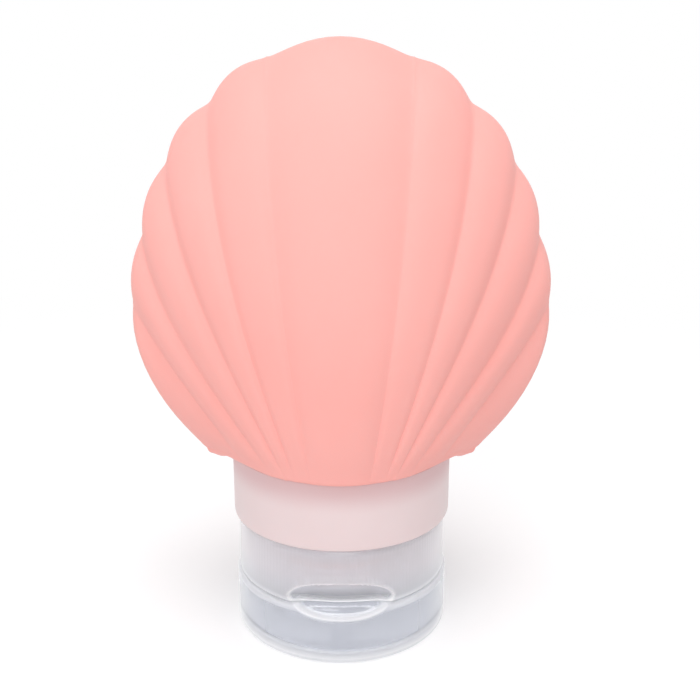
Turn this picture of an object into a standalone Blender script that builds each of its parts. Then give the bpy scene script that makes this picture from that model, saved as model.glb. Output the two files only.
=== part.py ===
"""A scallop-shaped silicone travel bottle that stands on its clear flip-top cap.

The soft shell hangs over a hard collar. The collar carries the thread tube, and a
sleeve pressed into the silicone neck clamps it there. The cap screws onto the tube,
holds the slit valve over its spout and a loose seal ring, and its lid swings on a
thin web at the back. The origin is the centre of the lid's flat outer face, +Z runs
up through the neck into the shell, and the thumb notch faces -Y.
"""
import itertools
import math

import bmesh
import bpy
from mathutils import Matrix, Vector

MM = 0.001

# Clearances that every neighbour shares.
FIT = 0.30 * MM
THREAD_CLEARANCE = 0.35 * MM
PARTING_GAP = 0.35 * MM
OVERRUN = 0.60 * MM

# Radii, counted outwards from the mouth that the bottle is filled through.
MOUTH_RADIUS = 9.2 * MM
INSERT_WALL = 1.0 * MM
NECK_WALL = 1.4 * MM
TUBE_WALL = 1.1 * MM
THREAD_DEPTH = 0.8 * MM
SLEEVE_WALL = 1.1 * MM
CAP_CHANNEL = 1.55 * MM
SKIRT_WALL = 1.2 * MM
SKIRT_DRAFT = 0.3 * MM
LID_OVERHANG = 0.4 * MM
COLLAR_OVERHANG = 0.65 * MM

NECK_BORE = MOUTH_RADIUS + INSERT_WALL + FIT
NECK_RADIUS = NECK_BORE + NECK_WALL
TUBE_BORE = NECK_RADIUS + FIT
TUBE_RADIUS = TUBE_BORE + TUBE_WALL
SLEEVE_BORE = TUBE_RADIUS + THREAD_DEPTH + THREAD_CLEARANCE
SLEEVE_RADIUS = SLEEVE_BORE + SLEEVE_WALL
SKIRT_BORE = SLEEVE_RADIUS + CAP_CHANNEL
CAP_RADIUS = SKIRT_BORE + SKIRT_WALL
LID_RADIUS = CAP_RADIUS + LID_OVERHANG
COLLAR_RADIUS = CAP_RADIUS + COLLAR_OVERHANG

# Heights, counted upwards from the face the bottle stands on.
LID_HEIGHT = 9.75 * MM
LID_PLATE = 1.3 * MM
LID_WALL = 1.2 * MM
LID_ROUND = 0.8 * MM
CAP_HEIGHT = 10.0 * MM
DECK = 1.3 * MM
SLEEVE_DROP = 0.5 * MM
SEAL_THICKNESS = 0.8 * MM
FLANGE_THICKNESS = 1.0 * MM
LIP_THICKNESS = 1.1 * MM
COLLAR_HEIGHT = 10.9 * MM
COLLAR_FLOOR = 1.5 * MM
COLLAR_WALL = 1.3 * MM
COLLAR_ROUND = 0.6 * MM
INSERT_LENGTH = 6.7 * MM

CAP_BASE = LID_HEIGHT + PARTING_GAP
DECK_TOP = CAP_BASE + DECK
CAP_TOP = CAP_BASE + CAP_HEIGHT
SEAL_BASE = DECK_TOP + FIT
FLANGE_BASE = SEAL_BASE + SEAL_THICKNESS + FIT
LIP_BASE = FLANGE_BASE + FLANGE_THICKNESS + FIT
TUBE_END = LIP_BASE + LIP_THICKNESS + FIT
COLLAR_BASE = CAP_TOP + FIT
COLLAR_TOP = COLLAR_BASE + COLLAR_HEIGHT
SHELL_BASE = COLLAR_TOP + FIT

# The screw thread: one start, right-handed, in shares of its pitch, a turn and a step.
THREAD_PITCH = 2.2 * MM
THREAD_FOOT_SHARE = 0.5
THREAD_CREST_SHARE = 0.18
THREAD_RUNOUT_SHARE = 0.1
THREAD_PHASE_SHARE = 0.25
THREAD_STEPS = 24
CAP_THREAD_TURNS = 2.0
CAP_THREAD_LEAD_TURNS = 1.5
THREAD_MARGIN = THREAD_PITCH * THREAD_FOOT_SHARE / 2 + FIT
TUBE_THREAD_START = TUBE_END + THREAD_MARGIN
CAP_THREAD_START = TUBE_THREAD_START - THREAD_PITCH * CAP_THREAD_LEAD_TURNS

# The spout, the stopper that closes it, and the slit valve above it.
ORIFICE_RADIUS = 1.6 * MM
SPOUT_LENGTH = 2.5 * MM
SPOUT_FOOT_RADIUS = 4.2 * MM
SPOUT_TIP_RADIUS = 3.4 * MM
STOPPER_FOOT_RADIUS = 2.3 * MM
STOPPER_REACH = 1.9 * MM
STOPPER_POINT = 0.4 * MM
VALVE_RADIUS = 4.6 * MM
VALVE_THICKNESS = 1.2 * MM
MEMBRANE_RADIUS = 3.1 * MM
MEMBRANE_THICKNESS = 0.6 * MM
SLIT_LENGTH = 3.6 * MM
SLIT_WIDTH = 0.25 * MM
POCKET_WALL = 1.1 * MM
RETAINER_THICKNESS = 0.9 * MM
RETAINER_BORE = 3.3 * MM
POCKET_BORE = VALVE_RADIUS + FIT
POCKET_RADIUS = POCKET_BORE + POCKET_WALL
VALVE_BASE = DECK_TOP + FIT
RETAINER_BASE = VALVE_BASE + VALVE_THICKNESS + FIT
POCKET_TOP = RETAINER_BASE + RETAINER_THICKNESS + FIT

# The thumb notch is one egg-shaped cut across the cap and the lid.
NOTCH_HALF_WIDTH = 15.5 * MM
NOTCH_DEPTH = 3.1 * MM
NOTCH_HALF_HEIGHT = 3.2 * MM
NOTCH_RISE = 1.4 * MM
NOTCH_WALL = 1.1 * MM

# The web hinge at the back of the parting gap.
WEB_RADIUS = 0.45 * MM
WEB_LENGTH = 9.0 * MM
LUG_HEIGHT = 2.4 * MM
LUG_DEPTH = 2.4 * MM
HINGE_Y = LID_RADIUS + WEB_RADIUS
HINGE_Z = LID_HEIGHT + PARTING_GAP / 2

# The shell: flutes that fan out from a point inside the cap up to a scalloped rim.
SHELL_HEIGHT = 67.3 * MM
SHELL_HALF_DEPTH = 22.9 * MM
SHELL_WALL = 2.0 * MM
SHELL_ROUND = 1.6 * MM
RIM_ROUND = 2.6 * MM
FAN_DROP = 23.6 * MM
FOOT_HALF_WIDTH = 25.3 * MM
FLUTE_ANGLE = math.radians(7.05)
FAN_EDGE_ANGLE = math.radians(48.0)
VALLEY_REACH_SHARES = (0.978, 0.923, 0.850, 0.760, 0.667)
BULGE_SHARE = 0.115
FACE_POWER = 0.68
SIDE_POWER = 1.25
FADE_POWER = 8
FLUTE_COLUMNS = 4
SHELL_ROWS = 10
CAVITY_COLUMNS = 2
CAVITY_ROWS = 6
SHOULDER_SLOPE = 2.5 * MM
FAN_Z = SHELL_BASE - FAN_DROP
FAN_HEIGHT = SHELL_HEIGHT + FAN_DROP
SHOULDER_RADIUS = COLLAR_RADIUS - COLLAR_WALL - FIT
SHOULDER_BASE = COLLAR_BASE + COLLAR_FLOOR + FIT

SEGMENTS = 48
SMALL_SEGMENTS = 28
ROD_SIDES = 16
CORNER_SHARE = 1 - math.sqrt(0.5)


def clear_scene():
    for old in list(bpy.data.objects):
        bpy.data.objects.remove(old, do_unlink=True)


def finish(name, colour, roughness, coat=0.0):
    """One Principled material with the colour, gloss and coat of the real surface."""
    made = bpy.data.materials.new(name)
    made.use_nodes = True
    shader = made.node_tree.nodes["Principled BSDF"]
    shader.inputs["Base Color"].default_value = (*colour, 1.0)
    shader.inputs["Roughness"].default_value = roughness
    shader.inputs["Metallic"].default_value = 0.0
    shader.inputs["Coat Weight"].default_value = coat
    made.diffuse_color = (*colour, 1.0)
    return made


def solid(name, bm, surface=None, pivot=(0.0, 0.0, 0.0)):
    """Turn a finished bmesh, drawn in place, into an object whose origin is its pivot."""
    bmesh.ops.remove_doubles(bm, verts=bm.verts, dist=FIT / 1000)
    bmesh.ops.dissolve_degenerate(bm, edges=bm.edges, dist=FIT / 1000)
    bmesh.ops.recalc_face_normals(bm, faces=bm.faces)
    bmesh.ops.translate(bm, verts=bm.verts, vec=-Vector(pivot))
    mesh = bpy.data.meshes.new(name)
    bm.to_mesh(mesh)
    bm.free()
    mesh.shade_smooth()
    mesh.set_sharp_from_angle(angle=math.radians(35))
    made = bpy.data.objects.new(name, mesh)
    made.location = pivot
    bpy.context.collection.objects.link(made)
    if surface:
        mesh.materials.append(surface)
    else:
        made.hide_render = True
        made.display_type = "WIRE"
    return made


def turned(name, profile, surface=None, segments=SEGMENTS, pivot=(0.0, 0.0, 0.0)):
    """Spin a closed (radius, height) outline about the Z axis."""
    bm = bmesh.new()
    points = [bm.verts.new((radius, 0.0, height)) for radius, height in profile]
    for start, end in zip(points, points[1:] + points[:1]):
        if start.co.x or end.co.x:
            bm.edges.new((start, end))
    bmesh.ops.spin(
        bm,
        geom=bm.edges[:],
        cent=(0.0, 0.0, 0.0),
        axis=(0.0, 0.0, 1.0),
        angle=math.tau,
        steps=segments,
        use_merge=True,
    )
    return solid(name, bm, surface, pivot)


def boolean(target, tool, operation):
    step = target.modifiers.new(f"{operation.lower()} {tool.name}", "BOOLEAN")
    step.operation = operation
    step.solver = "EXACT"
    step.object = tool


def attach(child, parent):
    """Hang a child on its parent and leave it where it stands."""
    child.location -= parent.location
    child.parent = parent


def box(name, low, high, pivot=(0.0, 0.0, 0.0)):
    """A block between two opposite corners."""
    bm = bmesh.new()
    corners = [bm.verts.new(place) for place in itertools.product(*zip(low, high))]
    for side in ((0, 1, 3, 2), (4, 6, 7, 5), (0, 4, 5, 1), (2, 3, 7, 6), (0, 2, 6, 4), (1, 5, 7, 3)):
        bm.faces.new([corners[number] for number in side])
    return solid(name, bm, pivot=pivot)


def egg(name, grow):
    """The thumb notch's ellipsoid, its half axes longer by grow, on the cap's front."""
    bm = bmesh.new()
    bmesh.ops.create_uvsphere(bm, u_segments=32, v_segments=14, radius=1.0)
    half = (NOTCH_HALF_WIDTH + grow, NOTCH_DEPTH + grow, NOTCH_HALF_HEIGHT + grow)
    bmesh.ops.scale(bm, verts=bm.verts, vec=half)
    bmesh.ops.translate(bm, verts=bm.verts, vec=(0.0, -CAP_RADIUS, HINGE_Z + NOTCH_RISE))
    return solid(name, bm)


def rod(name, radius, length, centre, surface=None, pivot=(0.0, 0.0, 0.0)):
    """A round bar along X, with a flat of its outline facing up."""
    bm = bmesh.new()
    bmesh.ops.create_cone(
        bm, cap_ends=True, segments=ROD_SIDES, radius1=radius, radius2=radius, depth=length
    )
    half_side = Matrix.Rotation(math.pi / ROD_SIDES, 3, "Z")
    lay_down = Matrix.Rotation(math.pi / 2, 3, "Y")
    bmesh.ops.rotate(bm, verts=bm.verts, cent=(0.0, 0.0, 0.0), matrix=lay_down @ half_side)
    bmesh.ops.translate(bm, verts=bm.verts, vec=centre)
    return solid(name, bm, surface, pivot)


def thread(name, wall, side, first_z, turns):
    """A ridge wound on a wall of the given radius, outwards for side 1, inwards for -1.

    The height of its middle rises by one pitch a turn, and the section is a trapezium
    whose foot is sunk in the wall. At both ends the ridge runs out into the wall over
    a share of a turn.
    """
    foot = THREAD_PITCH * THREAD_FOOT_SHARE / 2
    crest = THREAD_PITCH * THREAD_CREST_SHARE / 2
    sunk = wall - side * TUBE_WALL / 3
    steps = round(turns * THREAD_STEPS)
    runout = THREAD_STEPS * THREAD_RUNOUT_SHARE
    bm = bmesh.new()
    rings = []
    for step in range(steps + 1):
        angle = math.tau * (step + THREAD_PHASE_SHARE) / THREAD_STEPS
        from_end = min(step, steps - step) + THREAD_RUNOUT_SHARE
        rise = THREAD_DEPTH * min(1.0, from_end / runout)
        middle = first_z + THREAD_PITCH * step / THREAD_STEPS
        section = (
            (sunk, middle - foot),
            (wall + side * rise, middle - crest),
            (wall + side * rise, middle + crest),
            (sunk, middle + foot),
        )
        cosine, sine = math.cos(angle), math.sin(angle)
        rings.append([bm.verts.new((r * cosine, r * sine, z)) for r, z in section])
    for near, far in zip(rings, rings[1:]):
        for k in range(len(near)):
            following = (k + 1) % len(near)
            bm.faces.new((near[k], near[following], far[following], far[k]))
    bm.faces.new(rings[0])
    bm.faces.new(rings[-1])
    return solid(name, bm)


def rim_columns(inset, bulge_share, edge_round, columns):
    """Rim points from the left foot over the top to the right foot, as (x, z, crown, width).

    Each flute's edge is a parabola that bulges out of the chord between its two notches.
    Crown runs 0, 1, 0 across a flute, and width is the angle that the flute spans.
    """
    notches = []
    for number, reach_share in enumerate(VALLEY_REACH_SHARES, start=1):
        reach = FAN_HEIGHT * reach_share - inset
        angle = FLUTE_ANGLE * number
        notches.append((reach * math.sin(angle), FAN_Z + reach * math.cos(angle)))
    foot_corner = (FOOT_HALF_WIDTH - inset, SHELL_BASE + inset + edge_round)
    notches.append(foot_corner)
    right = []
    last = len(notches) - 1
    for number in range(last):
        start, end = notches[number], notches[number + 1]
        count = columns + 2 if number == last - 1 else columns
        right += lobe(start, end, bulge_share, [k / count for k in range(count)])
    right.append((*foot_corner, 0.0, FLUTE_ANGLE))
    left_notch = (-notches[0][0], notches[0][1])
    count = columns + 2
    middle = lobe(left_notch, notches[0], bulge_share, [k / count for k in range(1, count)])
    left = [(-x, z, crown, width) for x, z, crown, width in reversed(right)]
    return left + middle + right


def lobe(start, end, bulge_share, shares):
    """Points of one flute's edge, at the given shares of the way between two notches."""
    across, up = end[0] - start[0], end[1] - start[1]
    width = abs(fan_angle(*end) - fan_angle(*start))
    found = []
    for share in shares:
        crown = 4 * share * (1 - share)
        x = start[0] + across * share - up * bulge_share * crown
        z = start[1] + up * share + across * bulge_share * crown
        found.append((x, z, crown, width))
    return found


def fan_angle(x, z):
    return math.atan2(x, z - FAN_Z)


def face_depth(reach, rim, angle, half_depth, rim_round):
    """Half the shell's depth in a valley, at a reach along the ray that ends at the rim.

    A lens, fullest half way out and thinning to the sides, is joined by the root of
    summed squares to a round bead of radius rim_round along the rim.
    """
    part = reach / rim
    along = max(0.0, 4 * part * (1 - part)) ** FACE_POWER
    across = max(0.0, 1 - (angle / FAN_EDGE_ANGLE) ** 2) ** SIDE_POWER
    from_rim = min(rim - reach, rim_round)
    bead = math.sqrt(max(0.0, rim_round**2 - (rim_round - from_rim) ** 2))
    return math.hypot(half_depth * along * across, bead)


def shell(name, surface, inset, bulge_share, edge_round, columns, rows):
    """A closed fluted lens: rays of the fan run from a flat foot to the scalloped rim.

    Front and back share the rim. The foot is cut flat, its edge eased by edge_round.
    """
    foot_z = SHELL_BASE + inset
    half_depth = SHELL_HALF_DEPTH - inset
    rim_round = max(RIM_ROUND - inset, 0.0)
    bm = bmesh.new()
    loops = []
    for x, z, crown, width in rim_columns(inset, bulge_share, edge_round, columns):
        angle = fan_angle(x, z)
        rim = math.hypot(x, z - FAN_Z)
        foot = min(rim, (foot_z + edge_round - FAN_Z) / math.cos(angle))
        column = []
        for row in range(rows + 1):
            reach = foot + (rim - foot) * math.sin(math.pi / 2 * row / rows)
            depth = face_depth(reach, rim, angle, half_depth, rim_round)
            fade = math.sqrt(max(0.0, 1 - (reach / rim) ** FADE_POWER))
            depth += bulge_share * reach * width * crown * fade
            sideways = reach * math.sin(angle)
            upright = FAN_Z + reach * math.cos(angle)
            column.append((sideways, depth if row < rows else 0.0, upright))
        if edge_round:
            x0, y0, z0 = column[0]
            away = math.hypot(x0, y0)
            for turn in (60, 90):
                ease = edge_round * (1 - math.cos(math.radians(turn)))
                drop = edge_round * math.sin(math.radians(turn))
                share = (away - ease) / away
                column.insert(0, (x0 * share, y0 * share, z0 - drop))
        loops.append(column)
    sheets = []
    for side in (-1, 1):
        sheets.append([[bm.verts.new((x, side * y, z)) for x, y, z in loop] for loop in loops])
    for sheet in sheets:
        for near, far in zip(sheet, sheet[1:]):
            for row in range(len(near) - 1):
                bm.faces.new((near[row], far[row], far[row + 1], near[row + 1]))
    front = [loop[0] for loop in sheets[0]]
    back = [loop[0] for loop in reversed(sheets[1])]
    bm.faces.new(front + back)
    return solid(name, bm, surface)


def squeeze_body(surface):
    """The hollow silicone shell, its stepped shoulder, and the neck with its lip."""
    body = shell(
        "squeeze_body", surface, 0.0, BULGE_SHARE, SHELL_ROUND, FLUTE_COLUMNS, SHELL_ROWS
    )
    lip_radius = TUBE_RADIUS - FIT
    lip_top = LIP_BASE + LIP_THICKNESS
    neck = turned("neck_form", [
        (0.0, LIP_BASE),
        (lip_radius, LIP_BASE),
        (lip_radius, lip_top),
        (NECK_RADIUS, lip_top),
        (NECK_RADIUS, SHOULDER_BASE),
        (SHOULDER_RADIUS, SHOULDER_BASE),
        (SHOULDER_RADIUS, SHELL_BASE + SHELL_WALL / 2),
        (0.0, SHELL_BASE + SHELL_WALL / 2),
    ])
    cavity = shell("cavity_form", None, SHELL_WALL, 0.0, 0.0, CAVITY_COLUMNS, CAVITY_ROWS)
    shoulder_bore = SHOULDER_RADIUS - SHELL_WALL
    shoulder_floor = SHOULDER_BASE + SHELL_WALL
    bore = turned("bore_form", [
        (0.0, LIP_BASE - OVERRUN),
        (NECK_BORE, LIP_BASE - OVERRUN),
        (NECK_BORE, shoulder_floor),
        (shoulder_bore, shoulder_floor + SHOULDER_SLOPE),
        (shoulder_bore, SHELL_BASE + SHELL_WALL + OVERRUN),
        (0.0, SHELL_BASE + SHELL_WALL + OVERRUN),
    ])
    boolean(body, neck, "UNION")
    boolean(body, cavity, "DIFFERENCE")
    boolean(body, bore, "DIFFERENCE")
    return body


def neck_collar(surface):
    """The ring that shows above the cap, with the outer thread on its tube."""
    collar_ease = COLLAR_ROUND * CORNER_SHARE
    collar = turned("neck_collar", [
        (TUBE_BORE, TUBE_END),
        (TUBE_RADIUS, TUBE_END),
        (TUBE_RADIUS, COLLAR_BASE),
        (COLLAR_RADIUS - COLLAR_ROUND, COLLAR_BASE),
        (COLLAR_RADIUS - collar_ease, COLLAR_BASE + collar_ease),
        (COLLAR_RADIUS, COLLAR_BASE + COLLAR_ROUND),
        (COLLAR_RADIUS, COLLAR_TOP),
        (COLLAR_RADIUS - COLLAR_WALL, COLLAR_TOP),
        (COLLAR_RADIUS - COLLAR_WALL, COLLAR_BASE + COLLAR_FLOOR),
        (TUBE_BORE, COLLAR_BASE + COLLAR_FLOOR),
    ], surface)
    turns = (COLLAR_BASE - THREAD_MARGIN - TUBE_THREAD_START) / THREAD_PITCH
    ridge = thread("tube_thread", TUBE_RADIUS, 1, TUBE_THREAD_START, turns)
    boolean(collar, ridge, "UNION")
    return collar


def neck_insert(surface):
    """The sleeve inside the silicone neck, whose flange pins the lip to the tube."""
    flange_radius = TUBE_RADIUS - FIT
    return turned("neck_insert", [
        (MOUTH_RADIUS, FLANGE_BASE),
        (flange_radius, FLANGE_BASE),
        (flange_radius, FLANGE_BASE + FLANGE_THICKNESS),
        (MOUTH_RADIUS + INSERT_WALL, FLANGE_BASE + FLANGE_THICKNESS),
        (MOUTH_RADIUS + INSERT_WALL, FLANGE_BASE + FLANGE_THICKNESS + INSERT_LENGTH),
        (MOUTH_RADIUS, FLANGE_BASE + FLANGE_THICKNESS + INSERT_LENGTH),
    ], surface)


def seal_ring(surface):
    """The flat washer between the cap's deck and the neck, free to turn in the cap."""
    return turned("seal_ring", [
        (MOUTH_RADIUS - FLANGE_THICKNESS, SEAL_BASE),
        (TUBE_RADIUS - FIT, SEAL_BASE),
        (TUBE_RADIUS - FIT, SEAL_BASE + SEAL_THICKNESS),
        (MOUTH_RADIUS - FLANGE_THICKNESS, SEAL_BASE + SEAL_THICKNESS),
    ], surface, pivot=(0.0, 0.0, SEAL_BASE))


def screw_cap(surface, pivot):
    """The threaded cap: deck, spout, valve pocket, thread sleeve and outer skirt."""
    cap = turned("screw_cap", [
        (ORIFICE_RADIUS, CAP_BASE - SPOUT_LENGTH),
        (ORIFICE_RADIUS, DECK_TOP),
        (POCKET_BORE, DECK_TOP),
        (POCKET_BORE, POCKET_TOP),
        (POCKET_RADIUS, POCKET_TOP),
        (POCKET_RADIUS, DECK_TOP),
        (SLEEVE_BORE, DECK_TOP),
        (SLEEVE_BORE, CAP_TOP - SLEEVE_DROP),
        (SLEEVE_RADIUS, CAP_TOP - SLEEVE_DROP),
        (SLEEVE_RADIUS, DECK_TOP),
        (SKIRT_BORE, DECK_TOP),
        (SKIRT_BORE, CAP_TOP),
        (CAP_RADIUS - SKIRT_DRAFT, CAP_TOP),
        (CAP_RADIUS, CAP_BASE),
        (SPOUT_FOOT_RADIUS, CAP_BASE),
        (SPOUT_TIP_RADIUS, CAP_BASE - SPOUT_LENGTH),
    ], surface, pivot=pivot)
    backing = turned("notch_backing", [
        (SLEEVE_RADIUS - SLEEVE_WALL / 3, CAP_BASE + DECK / 2),
        (SKIRT_BORE + SKIRT_WALL / 3, CAP_BASE + DECK / 2),
        (SKIRT_BORE + SKIRT_WALL / 3, CAP_TOP - SLEEVE_DROP - OVERRUN),
        (SLEEVE_RADIUS - SLEEVE_WALL / 3, CAP_TOP - SLEEVE_DROP - OVERRUN),
    ])
    boolean(backing, egg("cap_notch_back", NOTCH_WALL), "INTERSECT")
    ridge = thread("sleeve_thread", SLEEVE_BORE, -1, CAP_THREAD_START, CAP_THREAD_TURNS)
    boolean(cap, backing, "UNION")
    boolean(cap, ridge, "UNION")
    boolean(cap, hinge_lug("cap_lug", CAP_BASE, CAP_BASE + LUG_HEIGHT, pivot), "UNION")
    boolean(cap, egg("cap_notch", 0.0), "DIFFERENCE")
    boolean(cap, hinge_relief("cap_relief"), "DIFFERENCE")
    return cap


def hinge_relief(name):
    """Room for the web, cut along the lugs from end to end."""
    return rod(name, WEB_RADIUS + FIT, WEB_LENGTH + 2 * FIT, (0.0, HINGE_Y, HINGE_Z))


def hinge_lug(name, bottom, top, pivot):
    """The flat block that carries the web, its outer face in line with the web's axis."""
    side = (WEB_LENGTH + FIT) / 2
    return box(name, (-side, HINGE_Y - LUG_DEPTH, bottom), (side, HINGE_Y, top), pivot)


def living_hinge(surface, pivot):
    """The thin web that joins lid and cap, as the bead it forms about its own axis."""
    return rod("living_hinge", WEB_RADIUS, WEB_LENGTH, (0.0, HINGE_Y, HINGE_Z), surface, pivot)


def no_drip_valve(surface, pivot):
    """A silicone disc, thin in the middle, with a cross slit that opens under pressure."""
    middle = VALVE_BASE + VALVE_THICKNESS / 2
    valve = turned("no_drip_valve", [
        (0.0, middle - MEMBRANE_THICKNESS / 2),
        (MEMBRANE_RADIUS, middle - MEMBRANE_THICKNESS / 2),
        (MEMBRANE_RADIUS, VALVE_BASE),
        (VALVE_RADIUS, VALVE_BASE),
        (VALVE_RADIUS, VALVE_BASE + VALVE_THICKNESS),
        (MEMBRANE_RADIUS, VALVE_BASE + VALVE_THICKNESS),
        (MEMBRANE_RADIUS, middle + MEMBRANE_THICKNESS / 2),
        (0.0, middle + MEMBRANE_THICKNESS / 2),
    ], surface, SMALL_SEGMENTS, pivot)
    low, high = VALVE_BASE - OVERRUN, VALVE_BASE + VALVE_THICKNESS + OVERRUN
    for name, x, y in (
        ("slit_across", SLIT_LENGTH / 2, SLIT_WIDTH / 2),
        ("slit_along", SLIT_WIDTH / 2, SLIT_LENGTH / 2),
    ):
        boolean(valve, box(name, (-x, -y, low), (x, y, high)), "DIFFERENCE")
    return valve


def valve_retainer(surface, pivot):
    """The snap ring that keeps the valve's rim down in its pocket."""
    return turned("valve_retainer", [
        (RETAINER_BORE, RETAINER_BASE),
        (VALVE_RADIUS, RETAINER_BASE),
        (VALVE_RADIUS, RETAINER_BASE + RETAINER_THICKNESS),
        (RETAINER_BORE, RETAINER_BASE + RETAINER_THICKNESS),
    ], surface, SMALL_SEGMENTS, pivot)


def flip_lid(surface, pivot):
    """The cup that closes the spout; the bottle stands on its flat outer face."""
    bore = LID_RADIUS - LID_WALL
    lid_ease = LID_ROUND * CORNER_SHARE
    tip_z = CAP_BASE - SPOUT_LENGTH + STOPPER_REACH
    tip_radius = ORIFICE_RADIUS - FIT
    lid = turned("flip_lid", [
        (0.0, 0.0),
        (LID_RADIUS - LID_ROUND, 0.0),
        (LID_RADIUS - lid_ease, lid_ease),
        (LID_RADIUS, LID_ROUND),
        (LID_RADIUS, LID_HEIGHT),
        (bore, LID_HEIGHT),
        (bore, LID_PLATE),
        (STOPPER_FOOT_RADIUS, LID_PLATE),
        (tip_radius, CAP_BASE - SPOUT_LENGTH - FIT),
        (tip_radius, tip_z - STOPPER_POINT),
        (tip_radius - STOPPER_POINT, tip_z),
        (0.0, tip_z),
    ], surface, pivot=pivot)
    backing = turned("lid_backing", [
        (bore - NOTCH_DEPTH - NOTCH_WALL, LID_PLATE / 2),
        (bore + LID_WALL / 3, LID_PLATE / 2),
        (bore + LID_WALL / 3, LID_HEIGHT),
        (bore - NOTCH_DEPTH - NOTCH_WALL, LID_HEIGHT),
    ])
    boolean(backing, egg("lid_notch_back", NOTCH_WALL), "INTERSECT")
    boolean(lid, backing, "UNION")
    boolean(lid, hinge_lug("lid_lug", LID_HEIGHT - LUG_HEIGHT, LID_HEIGHT, pivot), "UNION")
    boolean(lid, egg("lid_notch", 0.0), "DIFFERENCE")
    boolean(lid, hinge_relief("lid_relief"), "DIFFERENCE")
    return lid


def build():
    clear_scene()
    silicone = finish("shell_silicone", (1.0, 0.46, 0.41), 0.55)
    frosted = finish("frosted_polypropylene", (0.86, 0.72, 0.72), 0.35)
    clear = finish("clear_polypropylene", (0.80, 0.81, 0.85), 0.12, 0.3)
    white = finish("white_silicone", (0.86, 0.86, 0.86), 0.5)

    squeeze_body(silicone)
    neck_collar(frosted)
    neck_insert(frosted)
    ring = seal_ring(white)
    cap = screw_cap(clear, (0.0, 0.0, CAP_BASE))
    attach(no_drip_valve(white, (0.0, 0.0, VALVE_BASE)), cap)
    attach(valve_retainer(clear, (0.0, 0.0, RETAINER_BASE)), cap)
    attach(living_hinge(clear, (0.0, HINGE_Y, HINGE_Z)), cap)
    attach(flip_lid(clear, (0.0, HINGE_Y, HINGE_Z)), cap)
    attach(cap, ring)


build()
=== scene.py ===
"""A scallop-shaped silicone travel bottle that stands on its clear flip-top cap.

The pieces follow in the order in which the bottle is put together, from the shell down to
the lid. Metres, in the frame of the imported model.
"""
import math

import bmesh
import bpy
import numpy as np
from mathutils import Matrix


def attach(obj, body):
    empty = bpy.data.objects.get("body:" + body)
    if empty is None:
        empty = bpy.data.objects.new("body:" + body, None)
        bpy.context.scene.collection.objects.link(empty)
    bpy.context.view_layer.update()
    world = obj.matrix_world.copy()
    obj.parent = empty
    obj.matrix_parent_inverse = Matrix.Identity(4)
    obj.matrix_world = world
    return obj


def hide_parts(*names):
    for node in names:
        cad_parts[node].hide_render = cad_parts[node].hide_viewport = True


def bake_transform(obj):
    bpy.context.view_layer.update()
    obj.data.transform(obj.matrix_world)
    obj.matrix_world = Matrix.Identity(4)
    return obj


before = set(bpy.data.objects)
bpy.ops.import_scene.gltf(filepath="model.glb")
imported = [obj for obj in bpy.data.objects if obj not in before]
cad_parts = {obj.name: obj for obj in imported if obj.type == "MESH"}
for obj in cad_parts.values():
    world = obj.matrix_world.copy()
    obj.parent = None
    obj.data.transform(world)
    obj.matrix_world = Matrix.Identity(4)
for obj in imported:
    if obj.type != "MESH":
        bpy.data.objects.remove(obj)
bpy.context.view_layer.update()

# --- The shell -------------------------------------------------------------------------
# A soft hollow scallop of salmon-pink silicone, cast in a two-part mould whose seam runs
# round its rim. Eleven flutes fan out from below, and the neck hangs from a stepped
# shoulder inside the collar, with a lip at its end that the insert pins to the tube.
MM = 0.001
SHELL_BASE = 32.0 * MM
SHELL_HALF_DEPTH = 22.9 * MM
SHELL_WALL = 2.0 * MM
FOOT_ROUND = 1.0 * MM
FOOT_REACH = 16.0 * MM
FOOT_FLARE = 0.5 * MM
RIM_ROUND = 2.6 * MM
FAN_Z = 8.0 * MM
FAN_HEIGHT = 90.8 * MM
FAN_EDGE_ANGLE = math.radians(48.0)
FLUTE_COLUMNS = 20
VALLEY_ANGLE = np.radians([7.48, 14.33, 21.34, 28.10, 35.24])
VALLEY_REACH = np.array([0.980, 0.925, 0.852, 0.760, 0.666])
VALLEY_FOOT_TURN = np.radians([0.0, 3.0, 1.6, -2.0, -4.0, -2.0, 0.0])
VALLEY_BOW = np.radians([0.0, 0.5, 1.5, 1.3, 1.8, 0.0, 0.0])
VALLEY_SOFTNESS = 0.22
RIM_BULGE = np.array([0.130, 0.126, 0.127, 0.101, 0.077, 0.103])
FACE_BULGE = np.array([0.060, 0.092, 0.13, 0.18, 0.225, 0.25])
FACE_FLATNESS = np.array([5.0, 4.0, 3.0, 2.5, 2.2, 2.0])
LAST_FLUTE_LEAN = 0.78
FLUTE_REACH = 45.0 * MM
LENS_POWER = 0.68
SIDE_POWER = 1.2
FOOT_SIDE_POWER_DROP = 0.12
FOOT_EDGE_DRAW = math.radians(1.5)
FOOT_HALF_WIDTH = 24.0 * MM
FOOT_LEDGE = 19.05 * MM
FOOT_LEDGE_LIMIT = 0.995
WING_DROP = 1.2 * MM
WING_RUN = 4.0 * MM
SHOULDER_RADIUS = 17.35 * MM
SHOULDER_BASE = 22.2 * MM
SHOULDER_CHAMFER = 0.4 * MM
SHOULDER_SLOPE = 2.5 * MM
NECK_RADIUS = 11.9 * MM
NECK_BORE = 10.5 * MM
LIP_RADIUS = 13.0 * MM
LIP_BASE = 14.1 * MM
LIP_TOP = 15.2 * MM
OUTER_ROWS = 44
CAVITY_ROWS = 20
WELD_DISTANCE = MM / 1000
SHARP_ANGLE = math.radians(50.0)
SEAM_HALF_WIDTH = 0.14 * MM


def rise(distance, run):
    """0 up to no distance, then straight up to 1 over a run, and 1 beyond it."""
    return np.clip(distance / run, 0, 1)


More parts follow.
